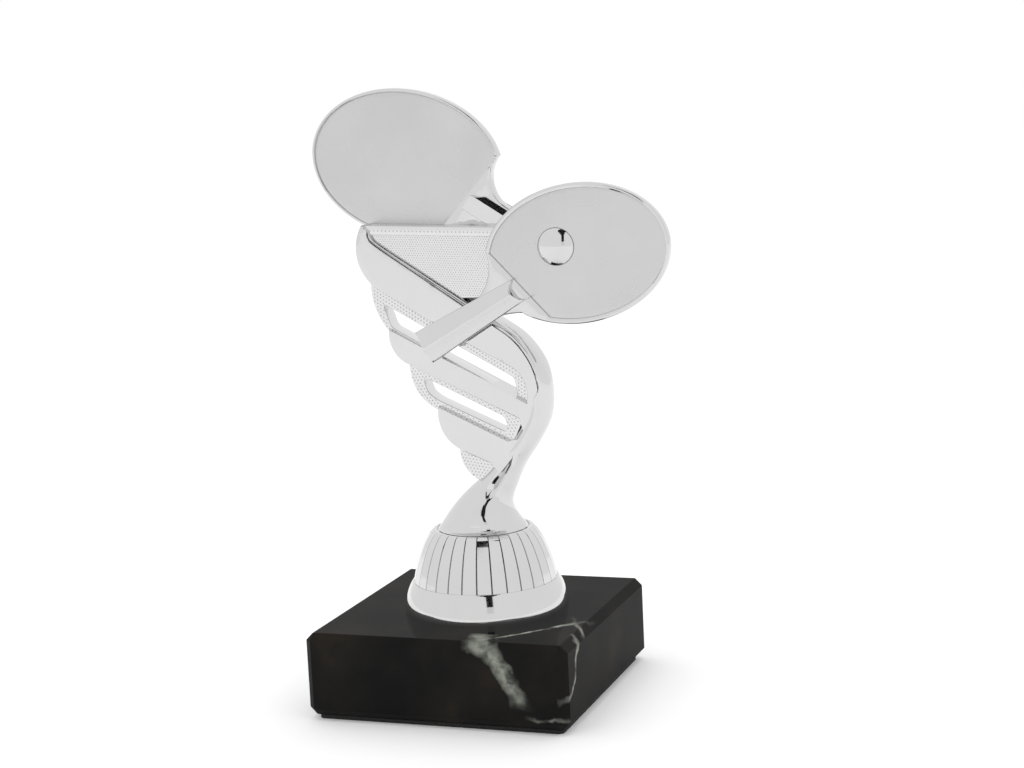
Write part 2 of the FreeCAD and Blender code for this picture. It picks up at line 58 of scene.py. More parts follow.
# ---------------------------------------------------------------- curves in the figure's plane
def polar(centre, angle, length):
    a = math.radians(angle)
    return (centre[0] + length * math.cos(a), centre[1] + length * math.sin(a))


def straight(p, q, step):
    """Points from p to q, q left out."""
    count = max(1, round(math.dist(p, q) / step))
    return [(p[0] + (q[0] - p[0]) * i / count, p[1] + (q[1] - p[1]) * i / count) for i in range(count)]


def through(points, step=0.6):
    """Straight runs through the points, the last one included."""
    path = []
    for p, q in zip(points, points[1:]):
        path += straight(p, q, step)
    return path + [points[-1]]


def arc(p, mid, q, step=0.5):
    """The circular arc from p through mid to q."""
    ax, ay, bx, by, cx, cy = *p, *mid, *q
    d = 2 * (ax * (by - cy) + bx * (cy - ay) + cx * (ay - by))
    ux = ((ax**2 + ay**2) * (by - cy) + (bx**2 + by**2) * (cy - ay) + (cx**2 + cy**2) * (ay - by)) / d
    uy = ((ax**2 + ay**2) * (cx - bx) + (bx**2 + by**2) * (ax - cx) + (cx**2 + cy**2) * (bx - ax)) / d
    radius = math.dist((ux, uy), p)
    a0, a1, a2 = (math.atan2(y - uy, x - ux) for x, y in (p, mid, q))
    turn = (a2 - a0) % (2 * math.pi)
    if (a1 - a0) % (2 * math.pi) > turn:
        turn -= 2 * math.pi
    count = max(2, round(abs(turn) * radius / step))
    angles = [a0 + turn * i / count for i in range(count + 1)]
    return [(ux + radius * math.cos(a), uy + radius * math.sin(a)) for a in angles]


def smooth_rows(rows, steps):
    """Catmull-Rom interpolation of rows of numbers, the ends included."""
    rows = np.array(rows, float)
    padded = np.vstack([2 * rows[0] - rows[1], rows, 2 * rows[-1] - rows[-2]])
    out = []
    for i in range(len(rows) - 1):
        a, b, c, d = padded[i:i + 4]
        for t in np.arange(steps) / steps:
            out.append(0.5 * (2 * b + (c - a) * t + (2 * a - 5 * b + 4 * c - d) * t**2
                              + (3 * b - a - 3 * c + d) * t**3))
    return np.array(out + [rows[-1]])


def rounded(corners, radius, step=0.25):
    """A closed polygon with each corner rounded off."""
    path = []
    count = len(corners)
    for i in range(count):
        before, corner, after = (np.array(corners[(i + k) % count], float) for k in (-1, 0, 1))
        to_before, to_after = before - corner, after - corner
        lengths = np.linalg.norm(to_before), np.linalg.norm(to_after)
        cut = min(radius, 0.45 * min(lengths))
        start = corner + to_before / lengths[0] * cut
        end = corner + to_after / lengths[1] * cut
        for t in np.linspace(0, 1, 6):
            path.append(tuple((1 - t)**2 * start + 2 * t * (1 - t) * corner + t**2 * end))
    dense = []
    for p, q in zip(path, path[1:] + path[:1]):
        dense += straight(p, q, step)
    return dense


def clean(path, least=0.05):
    """Drop points that lie almost on the one before."""
    out = []
    for p in path:
        if not out or math.dist(out[-1], p) > least:
            out.append(tuple(p))
    if math.dist(out[0], out[-1]) <= least:
        out.pop()
    return out


# ---------------------------------------------------------------- distances
def distance(points, path, closed=True):
    """Distance from each point to a polyline."""
    points, path = np.asarray(points, float), np.asarray(path, float)
    a = path if closed else path[:-1]
    b = np.roll(path, -1, axis=0) if closed else path[1:]
    run = b - a
    length2 = np.maximum((run**2).sum(1), 1e-12)
    out = np.empty(len(points))
    for i in range(0, len(points), 3000):
        p = points[i:i + 3000, None, :]
        t = np.clip(((p - a) * run).sum(2) / length2, 0, 1)
        nearest = a + t[..., None] * run
        out[i:i + 3000] = np.sqrt(((p - nearest)**2).sum(2).min(1))
    return out


def inside(points, polygon):
    """True for each point within a closed polygon."""
    points, polygon = np.asarray(points, float), np.asarray(polygon, float)
    out = np.zeros(len(points), bool)
    for (ax, ay), (bx, by) in zip(polygon, np.roll(polygon, -1, axis=0)):
        crosses = (ay > points[:, 1]) != (by > points[:, 1])
        if ay != by:
            x = ax + (points[:, 1] - ay) * (bx - ax) / (by - ay)
            out ^= crosses & (points[:, 0] < x)
    return out


def within(points, loops):
    """True for each point inside the first polygon and outside the others."""
    wanted = inside(points, loops[0])
    for hole in loops[1:]:
        wanted &= ~inside(points, hole)
    return wanted


def edge_drop(gap, radius):
    """How far a rounded edge lies under the flat face, at a distance gap in from the edge."""
    short = np.clip(radius - gap, 0, radius)
    return radius - np.sqrt(np.maximum(radius**2 - short**2, 0))


def smoothstep(x, low, high):
    t = np.clip((x - low) / (high - low), 0, 1)
    return t * t * (3 - 2 * t)


# ---------------------------------------------------------------- meshes
def linked(name, data):
    """A new object for a mesh, a camera or a lamp, in the scene."""
    obj = bpy.data.objects.new(name, data)
    bpy.context.scene.collection.objects.link(obj)
    return obj


def mesh_object(name, verts, faces, sharp_angle):
    """A smooth-shaded mesh object; edges that turn by more than sharp_angle stay crisp."""
    mesh = bpy.data.meshes.new(name)
    mesh.from_pydata([tuple(v) for v in verts], [], [tuple(f) for f in faces])
    mesh.validate()
    bm = bmesh.new()
    bm.from_mesh(mesh)
    bmesh.ops.remove_doubles(bm, verts=bm.verts, dist=1e-7)
    bmesh.ops.recalc_face_normals(bm, faces=bm.faces)
    for face in bm.faces:
        face.smooth = True
    for edge in bm.edges:
        if len(edge.link_faces) == 2 and edge.calc_face_angle(0) > math.radians(sharp_angle):
            edge.smooth = False
    bm.to_mesh(mesh)
    bm.free()
    return linked(name, mesh)


def hex_grid(low, high, pitch):
    """Points of a staggered grid that covers a rectangle."""
    rows = np.arange(low[1], high[1] + pitch, pitch * math.sqrt(3) / 2)
    points = []
    for k, y in enumerate(rows):
        xs = np.arange(low[0] + (k % 2) * pitch / 2, high[0] + pitch, pitch)
        points += [(x, y) for x in xs]
    return np.array(points)


RING_SHARES = (0.076, 0.293, 0.617, 1.0)     # distances in from an edge, as shares of its radius


def relief(name, outline, front, back, holes=(), rim=0.3, grid=1.2, lines=(), extra=None, sharp_angle=38):
    """A closed plate over an outline. front(points) and back(points) give the depths of its two
    faces, both towards the viewer as positive; rim is the width of the finely meshed edge."""
    loops = [clean(loop) for loop in (outline, *holes)]
    bounds = np.array(loops[0])
    points, edges = [], []
    for loop in loops:
        start = len(points)
        points += loop
        edges += [(start + i, start + (i + 1) % len(loop)) for i in range(len(loop))]
    for line in lines:
        start = len(points)
        points += line
        edges += [(start + i, start + i + 1) for i in range(len(line) - 1)]

    def allowed(candidates, least):
        candidates = np.asarray(candidates, float).reshape(-1, 2)
        wanted = within(candidates, loops)
        for loop in loops:
            wanted[wanted] &= distance(candidates[wanted], loop) > least
        return candidates[wanted]

    for loop in loops:
        ring = np.array(loop)
        tangent = np.roll(ring, -1, axis=0) - np.roll(ring, 1, axis=0)
        normal = np.stack([-tangent[:, 1], tangent[:, 0]], 1) / np.linalg.norm(tangent, axis=1)[:, None]
        for share in RING_SHARES:
            for side in (1, -1):
                points += [tuple(p) for p in allowed(ring + side * normal * rim * share, rim * share * 0.9)]
    if extra is not None:
        points += [tuple(p) for p in allowed(extra, 0.12)]
    filler = allowed(hex_grid(bounds.min(0), bounds.max(0), grid), rim + grid * 0.45)
    for line in lines:
        if len(filler):
            filler = filler[distance(filler, line, closed=False) > grid * 0.35]
    if extra is None:
        points += [tuple(p) for p in filler]
    flat, _, faces, _, _, _ = delaunay_2d_cdt([Vector(p) for p in points], edges, [], 1, 1e-5, False)
    flat = np.array([tuple(v) for v in flat])
    faces = np.array(faces)
    faces = faces[within(flat[faces].mean(1), loops)]
    a, b, c = (flat[faces[:, k]] for k in range(3))
    area = (b[:, 0] - a[:, 0]) * (c[:, 1] - a[:, 1]) - (b[:, 1] - a[:, 1]) * (c[:, 0] - a[:, 0])
    faces[area < 0] = faces[area < 0][:, ::-1]
    faces = faces[abs(area) > 1e-9]
    count = len(flat)
    y_front, y_back = -front(flat), -back(flat)
    verts = [place(x, y, h) for (x, h), y in zip(flat, y_front)]
    verts += [place(x, y, h) for (x, h), y in zip(flat, y_back)]
    solid = [tuple(f) for f in faces] + [tuple(f[::-1] + count) for f in faces]
    directed = dict.fromkeys((f[i], f[(i + 1) % 3]) for f in faces for i in range(3))
    for i, j in directed:
        if (j, i) not in directed:
            solid.append((i, i + count, j + count, j))
    return mesh_object(name, verts, solid, sharp_angle)


def place(x, y, h):
    return Vector((x * MM, y * MM, BLOCK_TOP + h * MM))


def grid_mesh(name, rows, sharp_angle=38):
    """A closed surface through equal rings of points, capped at both ends."""
    verts = [p for row in rows for p in row]
    n = len(rows[0])
    faces = []
    for r in range(len(rows) - 1):
        for i in range(n):
            j = (i + 1) % n
            faces.append((r * n + i, r * n + j, (r + 1) * n + j, (r + 1) * n + i))
    faces.append(tuple(range(n))[::-1])
    faces.append(tuple(range((len(rows) - 1) * n, len(rows) * n)))
    return mesh_object(name, verts, faces, sharp_angle)


def keep(obj, nodes, material):
    """Finish a piece: material, slot, body, and the CAD nodes it stands for."""
    obj.data.materials.clear()
    obj.data.materials.append(material)
    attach(obj, "root")
    if nodes:
        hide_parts(*nodes)
    return obj


# ---------------------------------------------------------------- materials
def shader(name, base, metallic=1.0, roughness=0.1):
    material = bpy.data.materials.new(name)
    material.use_nodes = True
    nodes = material.node_tree.nodes
    principled = nodes["Principled BSDF"]
    principled.inputs["Base Color"].default_value = (*base, 1)
    principled.inputs["Metallic"].default_value = metallic
    principled.inputs["Roughness"].default_value = roughness
    return material, nodes, material.node_tree.links, principled


def noise(nodes, links, scale, detail, stretch=(1, 1, 1)):
    """A noise texture in the object's own coordinates, in metres."""
    coordinates = nodes.new("ShaderNodeTexCoord")
    mapping = nodes.new("ShaderNodeMapping")
    mapping.inputs["Scale"].default_value = stretch
    texture = nodes.new("ShaderNodeTexNoise")
    texture.inputs["Scale"].default_value = scale
    texture.inputs["Detail"].default_value = detail
    links.new(coordinates.outputs["Object"], mapping.inputs["Vector"])
    links.new(mapping.outputs["Vector"], texture.inputs["Vector"])
    return texture


def spread(nodes, links, source, low, high, from_low=0.3, from_high=0.7):
    """A map range from a noise's usual span to low..high."""
    node = nodes.new("ShaderNodeMapRange")
    node.inputs["From Min"].default_value = from_low
    node.inputs["From Max"].default_value = from_high
    node.inputs["To Min"].default_value = low
    node.inputs["To Max"].default_value = high
    links.new(source, node.inputs["Value"])
    return node.outputs["Result"]


def ramp(nodes, links, source, stops):
    node = nodes.new("ShaderNodeValToRGB")
    while len(node.color_ramp.elements) < len(stops):
        node.color_ramp.elements.new(0.5)
    for element, (where, colour) in zip(node.color_ramp.elements, stops):
        element.position = where
        element.color = (*colour, 1)
    links.new(source, node.inputs["Fac"])
    return node.outputs["Color"]


def add_bump(nodes, links, principled, height, strength, distance_mm):
    bump = nodes.new("ShaderNodeBump")
    bump.inputs["Strength"].default_value = strength
    bump.inputs["Distance"].default_value = distance_mm * MM
    links.new(height, bump.inputs["Height"])
    links.new(bump.outputs["Normal"], principled.inputs["Normal"])


def plating(name, level, rough_low, rough_high):
    """Vacuum-metallised plastic: bright, nearly neutral, with a faint orange peel."""
    material, nodes, links, principled = shader(name, (level, level, level * 0.997))
    cloudy = noise(nodes, links, 90, 4)
    roughness = spread(nodes, links, cloudy.outputs["Fac"], rough_low, rough_high)
    links.new(roughness, principled.inputs["Roughness"])
    tone = ramp(nodes, links, cloudy.outputs["Fac"],
                [(0.35, (level * 0.985,) * 3), (0.65, (level * 1.01,) * 3)])
    links.new(tone, principled.inputs["Base Color"])
    peel = noise(nodes, links, 420, 2)
    add_bump(nodes, links, principled, peel.outputs["Fac"], 0.02, 0.1)
    return material


def satin():
    """The bats' rubbers: the same plating over a faintly grained surface with a few scratches."""
    material, nodes, links, principled = shader("satin_silver", (0.58, 0.58, 0.58))
    cloudy = noise(nodes, links, 60, 5)
    grain = noise(nodes, links, 1800, 2)
    scratches = noise(nodes, links, 500, 2, stretch=(1.0, 1.0, 0.06))
    marks = spread(nodes, links, scratches.outputs["Fac"], 0.0, 0.10, 0.70, 0.78)
    total = nodes.new("ShaderNodeMath")
    total.operation = "ADD"
    links.new(spread(nodes, links, cloudy.outputs["Fac"], 0.24, 0.32), total.inputs[0])
    links.new(marks, total.inputs[1])
    links.new(total.outputs[0], principled.inputs["Roughness"])
    tone = ramp(nodes, links, cloudy.outputs["Fac"], [(0.35, (0.555,) * 3), (0.65, (0.59,) * 3)])
    links.new(tone, principled.inputs["Base Color"])
    add_bump(nodes, links, principled, grain.outputs["Fac"], 0.06, 0.02)
    return material


def maths(nodes, links, operation, first, second=None):
    """One math node; each input is a socket or a number."""
    node = nodes.new("ShaderNodeMath")
    node.operation = operation
    for socket, value in zip(node.inputs, (first, second)):
        if value is None:
            continue
        if isinstance(value, (int, float)):
            socket.default_value = value
        else:
            links.new(value, socket)
    return node.outputs[0]


VEIN_WANDER = 12.0            # how far the noise can bend a vein from its line, both ways together
VEIN_FADE = 3.0               # length over which its ends fade


def vein(nodes, links, axes, slope, offset, bend, width, ends):
    """How strongly a pale vein shows near the line b = slope * a + offset, bent by noise.
    axes holds the sockets of a and b, and ends says where along a it starts and stops."""
    a, b = axes
    wander = maths(nodes, links, "MULTIPLY", maths(nodes, links, "SUBTRACT", bend, 0.5), VEIN_WANDER * MM)
    line = maths(nodes, links, "ADD", maths(nodes, links, "MULTIPLY", a, slope), offset)
    gap = maths(nodes, links, "SUBTRACT", maths(nodes, links, "ADD", b, wander), line)
    near = spread(nodes, links, maths(nodes, links, "ABSOLUTE", gap), 1, 0, 0.15 * width, width)
    fade = VEIN_FADE * MM
    start = spread(nodes, links, a, 0, 1, ends[0] - fade, ends[0] + fade)
    stop = spread(nodes, links, a, 1, 0, ends[1] - fade, ends[1] + fade)
    return maths(nodes, links, "MULTIPLY", near, maths(nodes, links, "MULTIPLY", start, stop))


def marble():
    """Polished black marble with pale grey-green veins and a few brown specks."""
    material, nodes, links, principled = shader("marble", (0.01, 0.01, 0.01), 0.0, 0.3)
    principled.inputs["Specular IOR Level"].default_value = 0.0
    principled.inputs["Coat Weight"].default_value = 0.16
    principled.inputs["Coat Roughness"].default_value = 0.06
    coordinates = nodes.new("ShaderNodeTexCoord")
    axes = nodes.new("ShaderNodeSeparateXYZ")
    links.new(coordinates.outputs["Object"], axes.inputs["Vector"])
    along = dict(zip("xyz", axes.outputs))
    bend = noise(nodes, links, 95, 5).outputs["Fac"]
    broken = spread(nodes, links, noise(nodes, links, 240, 4).outputs["Fac"], 0.15, 1.0, 0.38, 0.60)
    veins = None
    for pair, slope, offset, width, ends, side, span, strength in VEINS:
        sockets = [along[axis] for axis in pair]
        ends = [end * MM for end in ends]
        one = vein(nodes, links, sockets, slope, offset * MM, bend, width * MM, ends)
        low, high = span
        starts = spread(nodes, links, along[side], 0, 1, low * MM, (low + 1) * MM)
        stops = spread(nodes, links, along[side], 1, 0, (high - 1) * MM, high * MM)
        for factor in (starts, stops, strength):
            one = maths(nodes, links, "MULTIPLY", one, factor)
        veins = one if veins is None else maths(nodes, links, "MAXIMUM", veins, one)
    veins = maths(nodes, links, "MULTIPLY", veins, broken)
    cloud = noise(nodes, links, 60, 6).outputs["Fac"]
    stone = ramp(nodes, links, cloud, [(0.38, (0.004, 0.004, 0.004)), (0.58, (0.009, 0.008, 0.007)),
                                       (0.72, (0.017, 0.013, 0.009))])
    mix = nodes.new("ShaderNodeMix")
    mix.data_type = "RGBA"
    links.new(veins, mix.inputs["Factor"])
    links.new(stone, mix.inputs[6])
    mix.inputs[7].default_value = (0.42, 0.44, 0.38, 1)
    links.new(mix.outputs[2], principled.inputs["Base Color"])
    links.new(spread(nodes, links, cloud, 0.04, 0.09), principled.inputs["Coat Roughness"])
    return material


# Veins in millimetres: the axes a and b, the line b = slope * a + offset, half the width, the ends
# along a, the span along another axis that picks the block's face, and how strongly it shows.
VEINS = [
    ("zx", -0.70, 26.0, 3.6, (8.5, 21.0), "y", (-34, -24), 1.0),
    ("xy", 0.98, -40.6, 1.3, (10.0, 29.0), "z", (19, 22), 0.9),
    ("xy", -1.54, 31.3, 1.4, (28.5, 33.0), "z", (19, 22), 0.7),
    ("zy", 0.79, -37.7, 1.1, (4.0, 20.5), "x", (30, 34), 0.7),
    ("xz", 0.05, 2.6, 0.8, (25.0, 31.5), "y", (-34, -30), 0.5),
]


def felt():
    material, nodes, links, principled = shader("felt", (0.012, 0.013, 0.013), 0.0, 0.95)
    fibres = noise(nodes, links, 2500, 4)
    tone = ramp(nodes, links, fibres.outputs["Fac"], [(0.3, (0.008,) * 3), (0.7, (0.022,) * 3)])
    links.new(tone, principled.inputs["Base Color"])
    add_bump(nodes, links, principled, fibres.outputs["Fac"], 0.4, 0.2)
    return material


def fixing(name, colour, roughness):
    """Plated or brass fixings, slightly uneven."""
    material, nodes, links, principled = shader(name, colour, 1.0, roughness)
    patches = noise(nodes, links, 300, 3)
    links.new(spread(nodes, links, patches.outputs["Fac"], roughness - 0.06, roughness + 0.08),
              principled.inputs["Roughness"])
    dark = tuple(c * 0.85 for c in colour)
    links.new(ramp(nodes, links, patches.outputs["Fac"], [(0.3, dark), (0.7, colour)]),
              principled.inputs["Base Color"])
    return material


MARBLE = marble()
FELT = felt()
ZINC = fixing("zinc_steel", (0.62, 0.63, 0.64), 0.30)
BRASS = fixing("brass_nut", (0.70, 0.50, 0.22), 0.28)
SILVER = plating("silver_plating", 0.65, 0.05, 0.09)
MESH = plating("silver_mesh", 0.70, 0.10, 0.15)
SATIN = satin()


# ---------------------------------------------------------------- stem
# Each row: x and h of the centre, direction in degrees, half-width and half-depth.
STEM_ROWS = [
    (AXIS_X, 19.75, 90, 11.0, 11.0),
    (AXIS_X + 0.1, 20.55, 90, 10.5, 9.3),
    (3.0, 23.6, 80, 8.2, 8.5),
    (5.6, 28.6, 58, 5.0, 4.9),
    (8.5, 32.8, 52, 3.7, 4.3),
    (11.4, 37.1, 55, 2.9, 4.4),
    (15.2, 42.4, 57, 2.8, 4.5),
    (18.1, 48.0, 72, 2.8, 4.4),
    (18.8, 54.0, 95, 2.5, 4.3),
    (17.2, 60.0, 116, 2.3, 4.3),
    (13.4, 65.4, 134, 2.0, 4.3),
    (8.0, 69.4, 148, 1.7, 4.3),
    (1.0, 74.0, 147, 1.5, 4.3),
    (-10.4, 81.6, 146, 1.3, 4.3),
    (-20.6, 88.4, 146, 1.2, 4.3),
    (-22.6, 90.6, 110, 1.1, 4.3),
    (-22.8, 92.6, 92, 0.7, 4.0),
]
STEM_FINE = smooth_rows(STEM_ROWS, 10)
STEM_COLUMNS = 160
GROOVE_LOW, GROOVE_HIGH = 27.5, 39.5        # the hollow down the front, from h to h
GROOVE_DEEP = 1.15
GROOVE_HALF = 1.3                           # half its width
FACET_LOW, FACET_HIGH = 23.5, 30.0          # the small flat that faces forward and right
FACET_CUT = 0.10
FACET_TURN = math.radians(21)
FIN_FROM = 53.0                             # above this the stem narrows to a fin beside the band
FIN_EDGE = 0.45                             # left side of the fin, right of the centreline
SUNK_DEPTH = 3.0                            # the rest of the stem, hidden under the band
SECOND_AT, SECOND_HALF, SECOND_DEEP = 1.15, 0.22, 0.55      # a fine groove beside the fin's edge


def stem_depth(u, depth, half_width, h):
    """The reach of the stem's face at u millimetres right of its centreline, from its plain oval."""
    starts = smoothstep(h, GROOVE_LOW, GROOVE_LOW + 3)
    stops = 1 - smoothstep(h, GROOVE_HIGH - 4, GROOVE_HIGH)
    depth -= GROOVE_DEEP * float(starts * stops) * max(0.0, 1 - abs(u) / GROOVE_HALF)
    fin = float(smoothstep(h, FIN_FROM - 3, FIN_FROM + 2))
    if fin > 0:
        edge = FIN_EDGE - (1 - fin) * half_width
        rise = float(smoothstep(u, edge - 0.15, edge + 0.12))
        sunk = min(depth, SUNK_DEPTH)
        depth = sunk + (depth - sunk) * rise
        second = float(smoothstep(h, 56, 62) * (1 - smoothstep(h, 71, 74)))
        depth -= SECOND_DEEP * second * max(0.0, 1 - abs(u - FIN_EDGE - SECOND_AT) / SECOND_HALF)
    return depth


def stem():
    """The swept stem: ovals across a curved centreline, shaped on their front and back."""
    facing = (math.sin(FACET_TURN), math.cos(FACET_TURN))
    rows = []
    for x, h, direction, half_width, half_depth in STEM_FINE:
        a = math.radians(direction - 90)
        across = (math.cos(a), math.sin(a))
        risen = float(np.clip((h - FACET_LOW) / (FACET_HIGH - FACET_LOW), 0, 1))
        shave = FACET_CUT * risen * (h < FACET_HIGH)
        limit = math.hypot(half_width * facing[0], half_depth * facing[1]) - shave
        boxy = float(smoothstep(h, 52, 60))
        row = []
        for i in range(STEM_COLUMNS):
            t = 2 * math.pi * i / STEM_COLUMNS
            power = 1 - 0.35 * boxy
            u = math.copysign(abs(math.cos(t))**power, math.cos(t)) * half_width
            depth = abs(math.sin(t))**power * half_depth
            depth = stem_depth(u, depth, half_width, h)
            over = u * facing[0] + depth * facing[1] - limit
            if shave and math.sin(t) < 0 and over > 0:
                u, depth = u - over * facing[0], depth - over * facing[1]
            row.append(place(x + across[0] * u, math.copysign(depth, math.sin(t)), h + across[1] * u))
        rows.append(row)
    return grid_mesh("stem_visual", rows, sharp_angle=50)


# ---------------------------------------------------------------- bands
BAND_DEPTH = 4.0
END_ROUND, LONG_ROUND = 0.6, 0.25
BAND_EDGE = 0.10              # the upper band stops this far right of the stem's centreline


def band(name, outline, end, edges):
    """A band with a softly rounded free end and nearly sharp long edges."""
    def face(points):
        depth = BAND_DEPTH - edge_drop(distance(points, end, closed=False), END_ROUND)
        return depth - edge_drop(distance(points, edges, closed=False), LONG_ROUND)
    return relief(name, outline, face, lambda p: -face(p), rim=0.3, grid=1.0)


def stem_line(first, last):
    """The upper band's edge along the stem, between two of the stem's rows."""
    return [polar(row[:2], row[2] - 90, BAND_EDGE) for row in STEM_FINE[first * 10:last * 10 + 1]]


UPPER_END = arc((-24.2, 93.6), (-25.9, 87.6), (-21.8, 78.9))
UPPER_LOW = through([(-21.8, 78.9), (1.1, 65.4), (11.4, 60.1)])
UPPER_LOW += arc((11.4, 60.1), (15.1, 56.9), (15.9, 50.7))[1:]
MIDDLE_END = arc((-18.4, 68.4), (-17.6, 63.4), (-13.1, 59.6))
MIDDLE_LOW = through([(-13.1, 59.6), (14.0, 47.1)])
MIDDLE_TOP = through([(15.9, 50.7), (-4.7, 61.2), (-18.4, 68.4)])
LOWER_END = arc((-6.7, 49.6), (-5.8, 43.4), (-1.3, 39.2))
LOWER_LOW = through([(-1.3, 39.2), (6.1, 36.2)])
LOWER_TOP = through([(10.8, 41.5), (-6.7, 49.6)])


def upper_band():
    back = through([(15.9, 50.7), (18.6, 51.6)])[:-1] + stem_line(8, 16)
    outline = clean(UPPER_END + UPPER_LOW[1:] + back[1:], 0.12)
    return band("upper_band_visual", outline, UPPER_END, UPPER_LOW + back[40:])


def middle_band():
    inner = through([(14.0, 47.1), (15.2, 42.9), (18.1, 48.0), (18.6, 51.6), (15.9, 50.7)])
    outline = clean(MIDDLE_END + MIDDLE_LOW[1:] + inner[1:-1] + MIDDLE_TOP[:-1], 0.12)
    return band("middle_band_visual", outline, MIDDLE_END, MIDDLE_LOW)


def lower_band():
    inner = through([(6.1, 36.2), (8.5, 33.8), (11.4, 37.1), (15.2, 42.4), (10.8, 41.5)])
    outline = clean(LOWER_END + LOWER_LOW[1:] + inner[1:-1] + LOWER_TOP[:-1], 0.12)
    return band("lower_band_visual", outline, LOWER_END, LOWER_LOW)


# ---------------------------------------------------------------- dimpled webs, net and tape
DIMPLE_MARGIN = 0.15          # least gap from a dimple to an edge


def dimple_points(outline, holes, pitch, radius, angle):
    """Centres of a staggered pattern of dimples that fit wholly inside the outline."""
    box = np.array(outline)
    middle = (box.min(0) + box.max(0)) / 2
    reach = np.linalg.norm(box.max(0) - box.min(0)) / 2
    grid = hex_grid((-reach, -reach), (reach, reach), pitch)
    a = math.radians(angle)
    turn = np.array([[math.cos(a), math.sin(a)], [-math.sin(a), math.cos(a)]])
    centres = grid @ turn + middle
    centres = centres[within(centres, (outline, *holes))]
    for loop in (outline, *holes):
        centres = centres[distance(centres, loop) > radius + DIMPLE_MARGIN]
    return centres


def dimpled(name, outline, holes, half, pitch, radius, deep, angle):
    """A plate, half its thickness deep each way, with cone-shaped dimples on both faces."""
    centres = dimple_points(outline, holes, pitch, radius, angle)
    turns = np.arange(8) * math.pi / 4
    ring = np.stack([np.cos(turns), np.sin(turns)], 1)
    sets = [centres] + [centres + ring[k] * r for r in (radius, radius * 0.55) for k in range(8)]

    def face(points):
        depth = np.full(len(points), half)
        for i in range(0, len(points), 2000):
            block = points[i:i + 2000]
            near = np.sqrt(((block[:, None, :] - centres)**2).sum(2).min(1))
            depth[i:i + 2000] -= deep * np.clip(1 - near / (radius * 0.98), 0, 1)**0.8
        for loop in (outline, *holes):
            depth -= edge_drop(distance(points, loop), 0.2)
        return depth
    return relief(name, outline, face, lambda p: -face(p), holes=holes, rim=0.2,
                  extra=np.vstack(sets), sharp_angle=42)


WEB_DEPTH = 2.5
WEB_DIMPLES = {"pitch": 0.86, "radius": 0.20, "deep": 0.26}
# Each web: its free end as an arc, the corners back to that arc's start, its slot, the slot's corner
# radius, and the direction of the dimple rows.
WEBS = {
    "upper_web_visual": (
        [(-22.9, 80.5), (-22.1, 73.5), (-16.9, 66.0)],
        [(-16.9, 66.0), (-4.0, 60.0), (17.0, 50.0), (17.6, 55.0), (12.5, 61.0), (-22.9, 80.5)],
        [(-20.1, 74.6), (-9.8, 68.9), (12.7, 56.7), (13.4, 51.8), (-4.1, 61.2), (-18.1, 68.8)], 1.2, 28),
    "middle_web_visual": (
        [(-13.7, 61.6), (-12.5, 53.5), (-4.7, 47.9)],
        [(-4.7, 47.9), (11.5, 40.4), (14.8, 47.5), (-13.7, 61.6)],
        [(-10.7, 56.8), (10.0, 47.1), (10.4, 43.4), (-7.2, 51.2), (-9.5, 52.8)], 1.3, 5),
    "lower_web_visual": (
        [(-1.9, 40.7), (-0.65, 34.3), (3.9, 31.3)],
        [(3.9, 31.3), (8.0, 34.5), (7.0, 37.2), (-1.9, 40.7)], None, None, -8),
}


def web(name):
    end, rest, slot, corner, angle = WEBS[name]
    outline = clean(arc(*end) + through(rest)[1:-1])
    holes = [rounded(slot, corner)] if slot else []
    return dimpled(name, outline, holes, WEB_DEPTH, angle=angle, **WEB_DIMPLES)


NET_DEPTH = 2.8
TAPE_DEPTH = 3.3
TAPE_FALL = 0.030             # drop of the tape to the right, per millimetre
NET_LINE = [(-22.2, 91.6), (13.0, 90.6), (13.0, 75.8), (-2.2, 75.8), (-21.5, 89.0)]
NET_DIMPLES = {"pitch": 0.62, "radius": 0.15, "deep": 0.22}
TAPE_LEFT, TAPE_RIGHT = -23.4, 13.0
TAPE_LINE = [(TAPE_LEFT, 93.5), (TAPE_RIGHT, 93.5), (TAPE_RIGHT, 91.3), (-22.6, 91.3)]
TAPE_DIMPLES = {"pitch": 1.0, "radius": 0.21, "deep": 0.26}
FLOOR_LINE = [(-2.2, 76.4), (8.2, 76.4), (8.2, 70.0), (7.6, 69.7), (1.0, 74.0)]
FLOOR_AT = (-1, 73.5)         # where the floor under the net is FLOOR_DEPTH deep
FLOOR_DEPTH = 2.2
FLOOR_FALL = (0.384, 0.5)     # its fall to the right and upwards, per millimetre
FLOOR_LOW, FLOOR_BACK = -0.9, -1.2


def closed(corners):
    """A closed outline of straight runs through its corners."""
    return clean(through(corners + corners[:1])[:-1])


def net_floor():
    """The sloping floor that shows in the gap under the net."""
    def slope(points):
        fall = FLOOR_FALL[0] * (points[:, 0] - FLOOR_AT[0]) + FLOOR_FALL[1] * (points[:, 1] - FLOOR_AT[1])
        return np.maximum(FLOOR_LOW, FLOOR_DEPTH - fall)
    return relief("net_floor_visual", closed(FLOOR_LINE), slope, lambda p: np.full(len(p), FLOOR_BACK))


def net():
    return dimpled("net_panel_visual", closed(NET_LINE), [], NET_DEPTH, angle=-2, **NET_DIMPLES)


def tape():
    corners = [(x, h - TAPE_FALL * (x - TAPE_LEFT)) for x, h in TAPE_LINE]
    return dimpled("net_tape_visual", closed(corners), [], TAPE_DEPTH, angle=-1.7, **TAPE_DIMPLES)


